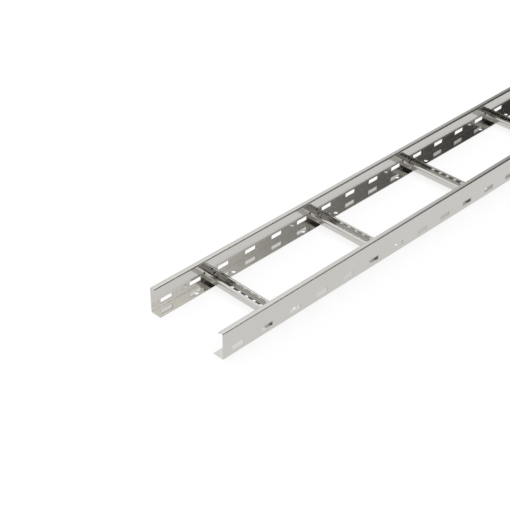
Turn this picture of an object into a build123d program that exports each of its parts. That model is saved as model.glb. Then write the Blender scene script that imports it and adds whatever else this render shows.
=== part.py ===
import os

from build123d import *

# Cable ladder section: two side rails folded from sheet, and lipped rungs welded between their webs.
# Millimetres. X runs along the ladder, Y across it, Z up from the floor that the flanges lie on.

# whole section
LENGTH = 3000.0               # rail length, a stock length
WIDTH = 200.0                 # over both rails
SHEET = 1.5                   # sheet thickness of rails and rungs
BEND_IN = 2.0                 # inner radius of every fold
ROW_Z = 15.0                  # height of the web slots' centre line, and of the rungs' middle

# side rail section, measured over the sheet
RAIL_H = 60.0
FLANGE = 26.0
LIP = 12.0
LIP_RETURN = 5.0

# rungs
RUNG_PITCH = 300.0
RUNG_W = 30.0
RUNG_H = 15.0
RUNG_MOUTH = 17.0             # clear width between the two lips

# slots through the webs, spread evenly between the rungs
SLOTS_PER_BAY = 4
SLOT_LONG = 29.0
SLOT_HIGH = 10.0

# round holes through the bottom flanges, one each side of every rung
FLANGE_HOLE_D = 9.0
FLANGE_HOLE_EDGE = 8.5        # hole centre to the flange's free edge
FLANGE_HOLE_DX = 50.0         # hole centre to the rung's middle

# slots through the rungs' bottoms
CROSS_PITCH = 20.0
CROSS_LONG = 18.0             # across the rung
CROSS_WIDE = 8.5              # along the rung
CROSS_END = 50.0              # least plain length at each end of a rung

# worked out from the sizes above
RUNG_COUNT = int(LENGTH / RUNG_PITCH + 0.01)
SLOT_PITCH = RUNG_PITCH / SLOTS_PER_BAY
RUNG_LEN = WIDTH - 2 * SHEET
CROSS_COUNT = 1 + 2 * int((RUNG_LEN / 2 - CROSS_END) / CROSS_PITCH)


def build_rail(side):
    """One side rail. side is 1 for the rail at +Y and -1 for the rail at -Y."""
    web_y = side * WIDTH / 2
    flange_y = web_y - side * FLANGE
    lip_y = web_y - side * LIP
    thickness_side = Side.LEFT if side > 0 else Side.RIGHT
    with BuildPart() as rail:
        # folded section, drawn as its outer line and thickened inwards
        with BuildSketch(Plane.YZ.offset(-LENGTH / 2)):
            with BuildLine() as outer_line:
                FilletPolyline(
                    (flange_y, 0),
                    (web_y, 0),
                    (web_y, RAIL_H),
                    (lip_y, RAIL_H),
                    (lip_y, RAIL_H - LIP_RETURN),
                    radius=BEND_IN + SHEET,
                )
                offset(amount=SHEET, side=thickness_side)
            make_face()
        extrude(amount=LENGTH)

        # one row of slots through the web
        with BuildSketch(Plane.XZ.offset(-web_y)):
            with Locations((0, ROW_Z)):
                with GridLocations(SLOT_PITCH, 0, RUNG_COUNT * SLOTS_PER_BAY, 1):
                    Rectangle(SLOT_LONG, SLOT_HIGH)
        extrude(amount=2 * SHEET, both=True, mode=Mode.SUBTRACT)

        # round holes through the bottom flange
        with BuildSketch():
            with Locations((0, flange_y + side * FLANGE_HOLE_EDGE)):
                with GridLocations(RUNG_PITCH, 0, RUNG_COUNT, 1):
                    with GridLocations(2 * FLANGE_HOLE_DX, 0, 2, 1):
                        Circle(FLANGE_HOLE_D / 2)
        extrude(amount=2 * SHEET, both=True, mode=Mode.SUBTRACT)
    return rail


def build_rung(middle_x):
    """One rung: a lipped channel with its open side up, reaching from web to web."""
    bottom_z = ROW_Z - RUNG_H / 2
    top_z = ROW_Z + RUNG_H / 2
    left_x = middle_x - RUNG_W / 2
    right_x = middle_x + RUNG_W / 2
    with BuildPart() as rung:
        with BuildSketch(Plane.XZ.offset(-RUNG_LEN / 2)):
            with BuildLine():
                FilletPolyline(
                    (middle_x - RUNG_MOUTH / 2, top_z),
                    (left_x, top_z),
                    (left_x, bottom_z),
                    (right_x, bottom_z),
                    (right_x, top_z),
                    (middle_x + RUNG_MOUTH / 2, top_z),
                    radius=BEND_IN + SHEET,
                )
                offset(amount=SHEET, side=Side.LEFT)
            make_face()
        extrude(amount=RUNG_LEN)

        # slots across the bottom
        with BuildSketch(Plane.XY.offset(bottom_z)):
            with Locations((middle_x, 0)):
                with GridLocations(0, CROSS_PITCH, 1, CROSS_COUNT):
                    Rectangle(CROSS_LONG, CROSS_WIDE)
        extrude(amount=2 * SHEET, both=True, mode=Mode.SUBTRACT)
    return rung


os.makedirs("parts", exist_ok=True)

side_rail_left = build_rail(1)
side_rail_left.part.label = "side_rail_left"
export_step(side_rail_left.part, "parts/side_rail_left.step")

side_rail_right = build_rail(-1)
side_rail_right.part.label = "side_rail_right"
export_step(side_rail_right.part, "parts/side_rail_right.step")

for number in range(RUNG_COUNT):
    middle_x = (number - (RUNG_COUNT - 1) / 2) * RUNG_PITCH
    rung = build_rung(middle_x)
    rung.part.label = f"rung_{number + 1:02d}"
    export_step(rung.part, f"parts/{rung.part.label}.step")
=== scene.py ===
import math

import bmesh
import bpy
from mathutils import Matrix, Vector


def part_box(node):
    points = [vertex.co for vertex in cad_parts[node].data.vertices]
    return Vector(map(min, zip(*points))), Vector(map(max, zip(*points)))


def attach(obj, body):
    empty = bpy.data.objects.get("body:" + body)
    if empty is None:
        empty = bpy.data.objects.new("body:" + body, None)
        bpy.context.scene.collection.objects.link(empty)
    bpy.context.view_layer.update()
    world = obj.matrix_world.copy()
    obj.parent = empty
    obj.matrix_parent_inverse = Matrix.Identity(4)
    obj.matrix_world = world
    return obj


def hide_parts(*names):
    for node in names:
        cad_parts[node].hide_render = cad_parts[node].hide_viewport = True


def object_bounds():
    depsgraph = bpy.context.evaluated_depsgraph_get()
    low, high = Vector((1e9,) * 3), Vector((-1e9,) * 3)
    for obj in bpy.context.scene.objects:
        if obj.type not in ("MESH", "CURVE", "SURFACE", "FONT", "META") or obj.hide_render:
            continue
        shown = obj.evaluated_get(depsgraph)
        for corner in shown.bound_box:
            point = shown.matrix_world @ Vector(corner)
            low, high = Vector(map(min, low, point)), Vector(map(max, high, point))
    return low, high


# Metres and degrees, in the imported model's frame: X along the ladder, Y across it, Z up from the floor.

# The photograph's camera, fitted to the ladder, with its focal length in millimetres and how far it sees
CAMERA_AT = (-2.7078, -1.4223, 1.5084)
CAMERA_TURN = (54.548, 0.302, -44.496)
CAMERA_LENS = 90.6
CAMERA_REACH = 50

# Sheet of rails and rungs, and its folds' outer radii: the fold between web and flange is a tighter one
SHEET = 0.0015
BEND_OUT = 0.0035
FLANGE_BEND_OUT = 0.0020
# Edges that turn by more than this are broken, by this much
EDGE_TURN = 40
EDGE_ROUND = 0.00015
# How far large flats outweigh small faces in the shading, out of 100
FLAT_WEIGHT = 100
# Side rail section, measured over the sheet
RAIL_H = 0.060
FLANGE = 0.026
LIP = 0.012
LIP_RETURN = 0.005
# Web slots, and flange holes to both sides of every rung
SLOT_LONG = 0.029
SLOT_HIGH = 0.010
SLOT_CORNER = 0.0008
SLOTS_PER_BAY = 4
SLOT_Z = 0.015
HOLE_D = 0.009
HOLE_EDGE = 0.0085
HOLE_DX = 0.050
# Rungs, and the slots across their bottoms
RUNG_PITCH = 0.300
RUNG_W = 0.030
RUNG_H = 0.015
RUNG_MOUTH = 0.017
CROSS_LONG = 0.018
CROSS_WIDE = 0.0085
CROSS_PITCH = 0.020
CROSS_COUNT = 5
# Dark spots between a rung's ends and the webs, over the left flank's upper fold, at the right lip's edge
# and inside the right flank's lower fold. Each has its place across from the rung's middle line and up from
# its underside, and its radius.
DARK_SPOTS = (
    ((-RUNG_W / 2 + 0.0012, RUNG_H - 0.0005), 0.0024),
    ((RUNG_MOUTH / 2 - 0.0020, RUNG_H - 0.0002), 0.0022),
    ((RUNG_W / 2 - 0.0030, SHEET + 0.0003), 0.0018),
)
# A dark spot's height and the waves of its rim, as shares of its radius, and how many waves there are
SPOT_HIGH = 0.75
SPOT_UNEVEN = 0.10
SPOT_WAVES = 3
# Flat steps that make up a fold, a broken edge and a quarter of each opening's outline, and the rings and
# sides of a dark spot
BEND_STEPS = 8
EDGE_STEPS = 2
SLOT_STEPS = 2
HOLE_STEPS = 12
CROSS_STEPS = 8
SPOT_RINGS = 6
SPOT_SIDES = 20
# Outline points that are closer than this are one point
SAME_POINT = 1e-6

# Places in a piece's list of materials, after the sheet's own
CUT_INDEX = 1
DARK_SPOT_INDEX = 2

# How much of each colour the sheet, its punched edges and the dark spots at the rungs' ends reflect, and how
# far soft clouds of tint take each colour up and down
STEEL = (0.563, 0.550, 0.524)
# the punched edges' colour: a dull cut edge darkened with painted shade, for walls seen from inside the
# ladder
CUT_STEEL_PAINTED_SHADE = (0.190, 0.185, 0.177)
# a dark colour for the spots at the rungs' ends
DARK_SPOT_STEEL = (0.11, 0.09, 0.07)
TINT = (0.015, 0.015, 0.030)
# Least and most roughness
SHEET_ROUGHNESS = (0.10, 0.17)
RAW_ROUGHNESS = (0.22, 0.36)
# Noise per metre along X, Y and Z: the sheet's grain runs along each piece
RAIL_GRAIN = (18, 700, 700)
RUNG_GRAIN = (700, 18, 700)
CUT_GRAIN = (700, 700, 700)
DARK_SPOT_GRAIN = (500, 500, 900)
CLOUDS = (14, 14, 14)
GRAIN_DETAIL = 4.0
CLOUD_DETAIL = 3.0
# The noise values between which roughness and tint go from end to end
GRAIN_SPAN = (0.25, 0.75)
CLOUD_SPAN = (0.3, 0.7)
# The grain's bump: its strength and how deep it is
GRAIN_STRENGTH = 0.15
GRAIN_DEPTH = 0.00001

# The studio that the metal mirrors: an even tent with two soft boxes, and two dark panels in front of it.
# Each box and panel has its direction (azimuth, elevation), the cosines at its soft edge, and its strength.
TENT = 1.07
SOFT_BOX = ((-71.6, 36.0), (0.915, 1.0), 2.25)
TOP_BOX = ((42, 61), (0.892, 0.970), 0.26)
DARK_PANEL = ((-5.9, 2.5), (0.575, 0.80), 0.93)
BLACK_PANEL = ((-74.6, 5.2), (0.800, 0.815), 1.0)
# How often light is mirrored before it is lost: the narrow gaps under the rungs need many times
MIRRORINGS = 12
# The floor: half its size, how far it lies under the ladder, how much light it scatters, and what it adds
# so that the camera sees it white
FLOOR_HALF = 6.0
FLOOR_DROP = 0.0005
FLOOR_SHADE = 0.25
FLOOR_GLOW = 0.78


def new_object(name, data):
    thing = bpy.data.objects.new(name, data)
    bpy.context.collection.objects.link(thing)
    return thing


def make_camera():
    data = bpy.data.cameras.new("camera")
    data.lens = CAMERA_LENS
    data.clip_end = CAMERA_REACH
    camera = new_object("camera", data)
    camera.location = CAMERA_AT
    camera.rotation_euler = [math.radians(angle) for angle in CAMERA_TURN]
    bpy.context.scene.camera = camera


def new_material(name):
    material = bpy.data.materials.new(name)
    material.use_nodes = True
    material.node_tree.nodes.clear()
    return material, material.node_tree.nodes, material.node_tree.links


def mixed(nodes, links, factor, first, second):
    """The first shader where the factor is 0, and the second where it is 1."""
    mix = nodes.new("ShaderNodeMixShader")
    for socket, value in zip(mix.inputs, (factor, first, second)):
        links.new(value, socket)
    return mix.outputs[0]


def make_floor():
    """A white floor: it keeps the ladder's soft shadow, and metal mirrors it as plain white."""
    mesh = bpy.data.meshes.new("floor")
    corners = [(sx * FLOOR_HALF, sy * FLOOR_HALF, 0) for sx, sy in ((-1, -1), (1, -1), (1, 1), (-1, 1))]
    mesh.from_pydata(corners, [], [(0, 1, 2, 3)])
    floor = new_object("floor", mesh)
    floor.location = (0, 0, -FLOOR_DROP)
    material, nodes, links = new_material("white_floor")
    shade = nodes.new("ShaderNodeBsdfDiffuse")
    shade.inputs["Color"].default_value = (FLOOR_SHADE, FLOOR_SHADE, FLOOR_SHADE, 1)
    glow = nodes.new("ShaderNodeEmission")
    glow.inputs["Strength"].default_value = FLOOR_GLOW
    white = nodes.new("ShaderNodeEmission")
    white.inputs["Strength"].default_value = 1.0
    lit = nodes.new("ShaderNodeAddShader")
    links.new(shade.outputs[0], lit.inputs[0])
    links.new(glow.outputs[0], lit.inputs[1])
    paths = nodes.new("ShaderNodeLightPath")
    seen = mixed(nodes, links, paths.outputs["Is Camera Ray"], shade.outputs[0], lit.outputs[0])
    surface = mixed(nodes, links, paths.outputs["Is Glossy Ray"], seen, white.outputs[0])
    output = nodes.new("ShaderNodeOutputMaterial")
    links.new(surface, output.inputs["Surface"])
    mesh.materials.append(material)


def direction(azimuth, elevation):
    a = math.radians(azimuth)
    e = math.radians(elevation)
    return (math.cos(e) * math.cos(a), math.cos(e) * math.sin(a), math.sin(e))


def make_world():
    """The studio for the metal and the light, and plain white behind it all for the camera."""
    world = bpy.data.worlds.new("studio")
    bpy.context.scene.world = world
    world.use_nodes = True
    nodes = world.node_tree.nodes
    links = world.node_tree.links
    nodes.clear()
    coordinates = nodes.new("ShaderNodeTexCoord")

    def spread(part):
        """The part's strength inside its soft edge, falling to 0 outside it."""
        towards, (edge_outside, edge_inside), strength = part
        dot = nodes.new("ShaderNodeVectorMath")
        dot.operation = "DOT_PRODUCT"
        dot.inputs[1].default_value = direction(*towards)
        links.new(coordinates.outputs["Generated"], dot.inputs[0])
        edge = nodes.new("ShaderNodeMapRange")
        edge.interpolation_type = "SMOOTHSTEP"
        edge.inputs["From Min"].default_value = edge_outside
        edge.inputs["From Max"].default_value = edge_inside
        edge.inputs["To Min"].default_value = 0.0
        edge.inputs["To Max"].default_value = strength
        links.new(dot.outputs["Value"], edge.inputs["Value"])
        return edge.outputs["Result"]

    def combined(operation, first, second):
        node = nodes.new("ShaderNodeMath")
        node.operation = operation
        for socket, value in zip(node.inputs, (first, second)):
            if isinstance(value, float):
                socket.default_value = value
            else:
                links.new(value, socket)
        return node.outputs[0]

    def background(strength):
        shader = nodes.new("ShaderNodeBackground")
        shader.inputs["Color"].default_value = (1, 1, 1, 1)
        if isinstance(strength, float):
            shader.inputs["Strength"].default_value = strength
        else:
            links.new(strength, shader.inputs["Strength"])
        return shader.outputs[0]

    boxes = combined("ADD", spread(SOFT_BOX), spread(TOP_BOX))
    bright = combined("ADD", TENT, boxes)
    panel = combined("SUBTRACT", 1.0, spread(DARK_PANEL))
    black = combined("SUBTRACT", 1.0, spread(BLACK_PANEL))
    dimmed = combined("MULTIPLY", panel, black)
    studio = combined("MULTIPLY", bright, dimmed)
    paths = nodes.new("ShaderNodeLightPath")
    seen = mixed(nodes, links, paths.outputs["Is Camera Ray"], background(studio), background(1.0))
    output = nodes.new("ShaderNodeOutputWorld")
    links.new(seen, output.inputs["Surface"])


def steel_material(name, colour, grain, roughness):
    """Stainless steel: grain is its noise scale along X, Y and Z, and roughness its least and most."""
    material, nodes, links = new_material(name)
    output = nodes.new("ShaderNodeOutputMaterial")
    shader = nodes.new("ShaderNodeBsdfPrincipled")
    shader.inputs["Metallic"].default_value = 1.0
    links.new(shader.outputs[0], output.inputs["Surface"])
    # the place in the frame, so that no two rungs have the same grain
    coordinates = nodes.new("ShaderNodeTexCoord")
    info = nodes.new("ShaderNodeObjectInfo")
    place = nodes.new("ShaderNodeVectorMath")
    place.operation = "ADD"
    links.new(coordinates.outputs["Object"], place.inputs[0])
    links.new(info.outputs["Location"], place.inputs[1])

    def noise(scale, detail):
        stretch = nodes.new("ShaderNodeMapping")
        stretch.inputs["Scale"].default_value = scale
        links.new(place.outputs[0], stretch.inputs["Vector"])
        texture = nodes.new("ShaderNodeTexNoise")
        texture.inputs["Scale"].default_value = 1.0
        texture.inputs["Detail"].default_value = detail
        links.new(stretch.outputs[0], texture.inputs["Vector"])
        return texture.outputs["Fac"]

    clouds = noise(CLOUDS, CLOUD_DETAIL)
    lines = noise(grain, GRAIN_DETAIL)
    colours = nodes.new("ShaderNodeValToRGB")
    darker, lighter = colours.color_ramp.elements
    darker.position = CLOUD_SPAN[0]
    darker.color = [c * (1 - t) for c, t in zip(colour, TINT)] + [1]
    lighter.position = CLOUD_SPAN[1]
    lighter.color = [c * (1 + t) for c, t in zip(colour, TINT)] + [1]
    links.new(clouds, colours.inputs["Fac"])
    links.new(colours.outputs["Color"], shader.inputs["Base Color"])
    rough = nodes.new("ShaderNodeMapRange")
    rough.inputs["From Min"].default_value = GRAIN_SPAN[0]
    rough.inputs["From Max"].default_value = GRAIN_SPAN[1]
    rough.inputs["To Min"].default_value = roughness[0]
    rough.inputs["To Max"].default_value = roughness[1]
    links.new(lines, rough.inputs["Value"])
    links.new(rough.outputs["Result"], shader.inputs["Roughness"])
    bump = nodes.new("ShaderNodeBump")
    bump.inputs["Strength"].default_value = GRAIN_STRENGTH
    bump.inputs["Distance"].default_value = GRAIN_DEPTH
    links.new(lines, bump.inputs["Height"])
    links.new(bump.outputs["Normal"], shader.inputs["Normal"])
    return material


def closed_mesh(name, form, material_index=0):
    """Mesh of a finished bmesh of closed surfaces, all facing outwards and of one material."""
    bmesh.ops.recalc_face_normals(form, faces=form.faces)
    for face in form.faces:
        face.material_index = material_index
    mesh = bpy.data.meshes.new(name)
    form.to_mesh(mesh)
    form.free()
    return mesh


def folded_section(corners, side, bends):
    """Outer and inner outline of a folded sheet whose outer face runs through the corners.
    side is 1 where the sheet's thickness lies to the left of the way along them, and -1 to the right.
    bends are the outer radii of the folds between them."""
    points = [Vector(corner) for corner in corners]

    def inward(a, b):
        way = (b - a).normalized()
        return Vector((-way.y, way.x)) * side

    outer = [points[0]]
    inner = [points[0] + inward(points[0], points[1]) * SHEET]
    for before, corner, after, bend in zip(points, points[1:], points[2:], bends):
        first = inward(before, corner)
        second = inward(corner, after)
        # every fold here is square and turns towards the sheet's inner face
        centre = corner + (first + second) * bend
        for step in range(BEND_STEPS + 1):
            turn = math.radians(90) * step / BEND_STEPS
            spoke = -(first * math.cos(turn) + second * math.sin(turn))
            outer.append(centre + spoke * bend)
            inner.append(centre + spoke * (bend - SHEET))
    outer.append(points[-1])
    inner.append(points[-1] + inward(points[-2], points[-1]) * SHEET)
    return outer, inner


def extruded(name, section, length, place):
    """Folded sheet of that length about its middle. place(u, v, along) puts a section point in the frame."""
    outer, inner = section
    form = bmesh.new()
    rings = []
    for along in (-length / 2, length / 2):
        rings.append([[form.verts.new(place(p.x, p.y, along)) for p in line] for line in (outer, inner)])
    (outer_a, inner_a), (outer_b, inner_b) = rings
    for k in range(len(outer) - 1):
        form.faces.new((outer_a[k], outer_a[k + 1], outer_b[k + 1], outer_b[k]))
        form.faces.new((inner_a[k], inner_b[k], inner_b[k + 1], inner_a[k + 1]))
        form.faces.new((outer_a[k], inner_a[k], inner_a[k + 1], outer_a[k + 1]))
        form.faces.new((outer_b[k], outer_b[k + 1], inner_b[k + 1], inner_b[k]))
    for k in (0, -1):
        form.faces.new((outer_a[k], outer_b[k], inner_b[k], inner_a[k]))
    return closed_mesh(name, form)


def rounded_outline(long, high, corner, steps):
    """Outline of a slot about its middle; an obround or a circle where corner is half its height."""
    outline = []
    for quarter in range(4):
        sx = 1 if quarter in (0, 3) else -1
        sy = 1 if quarter in (0, 1) else -1
        for step in range(steps + 1):
            turn = math.radians(90) * (quarter + step / steps)
            u = sx * (long / 2 - corner) + corner * math.cos(turn)
            v = sy * (high / 2 - corner) + corner * math.sin(turn)
            if not outline or (Vector((u, v)) - outline[-1]).length > SAME_POINT:
                outline.append(Vector((u, v)))
    if (outline[0] - outline[-1]).length < SAME_POINT:
        outline.pop()
    return outline


def cutters(name, cuts):
    """One mesh of prisms, which leave their material index on the walls that they cut. Each cut is an
    outline, a function that places a point of it at a depth, and the prism's two depths, one or two
    thicknesses past both faces of the sheet."""
    form = bmesh.new()
    for outline, place, depths in cuts:
        low_end, high_end = [[form.verts.new(place(p.x, p.y, depth)) for p in outline] for depth in depths]
        form.faces.new(low_end)
        form.faces.new(high_end)
        for k in range(len(outline)):
            following = (k + 1) % len(outline)
            form.faces.new((low_end[k], low_end[following], high_end[following], high_end[k]))
    return closed_mesh(name, form, CUT_INDEX)


def dark_end_spots(name, length, floor_z):
    """The dark spots at both ends of a rung that reaches from web to web, each a low dome on the web."""
    form = bmesh.new()
    for end in (1, -1):
        for (middle_x, middle_z), radius in DARK_SPOTS:
            rings = []
            for level in range(SPOT_RINGS):
                tilt = math.radians(90) * level / SPOT_RINGS
                y = end * (length / 2 - SPOT_HIGH * radius * math.sin(tilt))
                ring = []
                for step in range(SPOT_SIDES):
                    turn = 2 * math.pi * step / SPOT_SIDES
                    reach = radius * math.cos(tilt) * (1 + SPOT_UNEVEN * math.sin(SPOT_WAVES * turn))
                    x = middle_x + reach * math.cos(turn)
                    z = floor_z + middle_z + reach * math.sin(turn)
                    ring.append(form.verts.new((x, y, z)))
                rings.append(ring)
            tip = form.verts.new((middle_x, end * (length / 2 - SPOT_HIGH * radius), floor_z + middle_z))
            form.faces.new(rings[0])
            for k in range(SPOT_SIDES):
                following = (k + 1) % SPOT_SIDES
                for lower, upper in zip(rings, rings[1:]):
                    form.faces.new((lower[k], lower[following], upper[following], upper[k]))
                form.faces.new((rings[-1][k], rings[-1][following], tip))
    return closed_mesh(name, form, DARK_SPOT_INDEX)


def applied(thing):
    """The mesh of an object with its modifiers applied. The object itself goes."""
    graph = bpy.context.evaluated_depsgraph_get()
    mesh = bpy.data.meshes.new_from_object(thing.evaluated_get(graph))
    bpy.data.objects.remove(thing)
    return mesh


def finished(name, mesh, cutter_mesh, materials, added=None):
    """The sheet with its openings cut, its edges broken, an added mesh joined to it, and its flats kept flat
    in the light."""
    for material in materials:
        mesh.materials.append(material)
        cutter_mesh.materials.append(material)
    piece = new_object(name, mesh)
    tool = new_object(name + "_cuts", cutter_mesh)
    cut = piece.modifiers.new("cut", "BOOLEAN")
    cut.operation = "DIFFERENCE"
    cut.solver = "EXACT"
    cut.object = tool
    edges = piece.modifiers.new("edges", "BEVEL")
    edges.width = EDGE_ROUND
    edges.segments = EDGE_STEPS
    edges.limit_method = "ANGLE"
    edges.angle_limit = math.radians(EDGE_TURN)
    rounded = applied(piece)
    bpy.data.objects.remove(tool)
    if added:
        form = bmesh.new()
        form.from_mesh(rounded)
        form.from_mesh(added)
        form.to_mesh(rounded)
        form.free()
    rounded.polygons.foreach_set("use_smooth", [True] * len(rounded.polygons))
    smooth = new_object(name, rounded)
    flats = smooth.modifiers.new("flats", "WEIGHTED_NORMAL")
    flats.weight = FLAT_WEIGHT
    result = applied(smooth)
    result.name = name
    return result


def rail_mesh(name, side, length, width, rung_xs, materials):
    """side is 1 for the rail at +Y and -1 for the rail at -Y."""
    outer_y = width / 2
    corners = [
        (outer_y - LIP, RAIL_H - LIP_RETURN),
        (outer_y - LIP, RAIL_H),
        (outer_y, RAIL_H),
        (outer_y, 0),
        (outer_y - FLANGE, 0),
    ]
    section = folded_section(corners, -1, (BEND_OUT, BEND_OUT, FLANGE_BEND_OUT))
    mesh = extruded(name, section, length, lambda u, v, x: (x, side * u, v))
    cuts = []

    # a row of slots through the web
    slot = rounded_outline(SLOT_LONG, SLOT_HIGH, SLOT_CORNER, SLOT_STEPS)
    pitch = RUNG_PITCH / SLOTS_PER_BAY
    count = round(length / pitch)
    web_depths = (side * (outer_y - 3 * SHEET), side * (outer_y + 2 * SHEET))
    for k in range(count):

        def in_web(u, v, y, x=(k - (count - 1) / 2) * pitch):
            return (x + u, y, SLOT_Z + v)

        cuts.append((slot, in_web, web_depths))

    # round holes through the flange
    hole = rounded_outline(HOLE_D, HOLE_D, HOLE_D / 2, HOLE_STEPS)
    hole_y = side * (outer_y - FLANGE + HOLE_EDGE)
    flange_depths = (-2 * SHEET, 2 * SHEET)
    for rung_x in rung_xs:
        for shift in (-HOLE_DX, HOLE_DX):

            def in_flange(u, v, z, x=rung_x + shift):
                return (x + u, hole_y + v, z)

            cuts.append((hole, in_flange, flange_depths))
    return finished(name, mesh, cutters(name + "_cuts", cuts), materials)


def rung_mesh(name, length, floor_z, materials):
    """A rung about the frame's X = 0, with its underside at floor_z."""
    half = RUNG_W / 2
    mouth = RUNG_MOUTH / 2
    top_z = floor_z + RUNG_H
    corners = [
        (-mouth, top_z),
        (-half, top_z),
        (-half, floor_z),
        (half, floor_z),
        (half, top_z),
        (mouth, top_z),
    ]
    section = folded_section(corners, 1, (BEND_OUT,) * 4)
    mesh = extruded(name, section, length, lambda u, v, y: (u, y, v))
    slot = rounded_outline(CROSS_LONG, CROSS_WIDE, CROSS_WIDE / 2, CROSS_STEPS)
    bottom_depths = (floor_z - SHEET, floor_z + 2 * SHEET)
    cuts = []
    for k in range(CROSS_COUNT):

        def in_bottom(u, v, z, y=(k - (CROSS_COUNT - 1) / 2) * CROSS_PITCH):
            return (u, y + v, z)

        cuts.append((slot, in_bottom, bottom_depths))
    end_spots = dark_end_spots(name + "_welds", length, floor_z)
    return finished(name, mesh, cutters(name + "_cuts", cuts), materials, end_spots)


def add_piece(node, mesh, x):
    """A visible piece at that place along the ladder, in place of the frame's node."""
    piece = new_object(node + "_sheet", mesh)
    piece.location = (x, 0, 0)
    bpy.context.view_layer.update()
    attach(piece, "root")
    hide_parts(node)


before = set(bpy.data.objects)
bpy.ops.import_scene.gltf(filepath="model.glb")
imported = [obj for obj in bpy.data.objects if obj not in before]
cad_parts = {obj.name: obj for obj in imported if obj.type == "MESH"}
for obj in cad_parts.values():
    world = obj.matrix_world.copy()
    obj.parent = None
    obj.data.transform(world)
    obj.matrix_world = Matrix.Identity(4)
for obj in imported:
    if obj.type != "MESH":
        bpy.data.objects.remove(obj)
cad_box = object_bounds()

scene = bpy.context.scene
scene.view_settings.view_transform = "Standard"
scene.cycles.glossy_bounces = MIRRORINGS
make_camera()
make_floor()
make_world()

low, high = cad_box
length = high[0] - low[0]
width = high[1] - low[1]
rung_nodes = sorted(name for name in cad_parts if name.startswith("rung_"))
rung_xs = []
for name in rung_nodes:
    near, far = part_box(name)
    rung_xs.append((near[0] + far[0]) / 2)
rung_low, rung_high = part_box(rung_nodes[0])

rail_steel = steel_material("rail_steel", STEEL, RAIL_GRAIN, SHEET_ROUGHNESS)
rung_steel = steel_material("rung_steel", STEEL, RUNG_GRAIN, SHEET_ROUGHNESS)
# dull cut-edge steel darkened with painted shade
cut_steel_painted_shade = steel_material("cut_steel_painted_shade", CUT_STEEL_PAINTED_SHADE, CUT_GRAIN, RAW_ROUGHNESS)
dark_spot_steel = steel_material("dark_spot_steel", DARK_SPOT_STEEL, DARK_SPOT_GRAIN, RAW_ROUGHNESS)

# In the photograph the punched edges of the far rail and the rungs look dull, and those of the near rail
# bright. Their dark colour on the far rail and the rungs is painted shade on a dull cut edge; the near
# rail's edges keep the sheet's own steel. Why is a guess: the punch leaves a bright part on its own
# side, and its side is outside.
for node, side, edge_steel_plain_or_shaded in (("side_rail_left", 1, cut_steel_painted_shade), ("side_rail_right", -1, rail_steel)):
    mesh = rail_mesh(node + "_sheet", side, length, width, rung_xs, (rail_steel, edge_steel_plain_or_shaded))
    add_piece(node, mesh, 0)
# the rungs' punched walls get the steel darkened with painted shade
rung_materials = (rung_steel, cut_steel_painted_shade, dark_spot_steel)
rung = rung_mesh("rung_sheet", rung_high[1] - rung_low[1], rung_low[2], rung_materials)
for node, x in zip(rung_nodes, rung_xs):
    add_piece(node, rung, x)
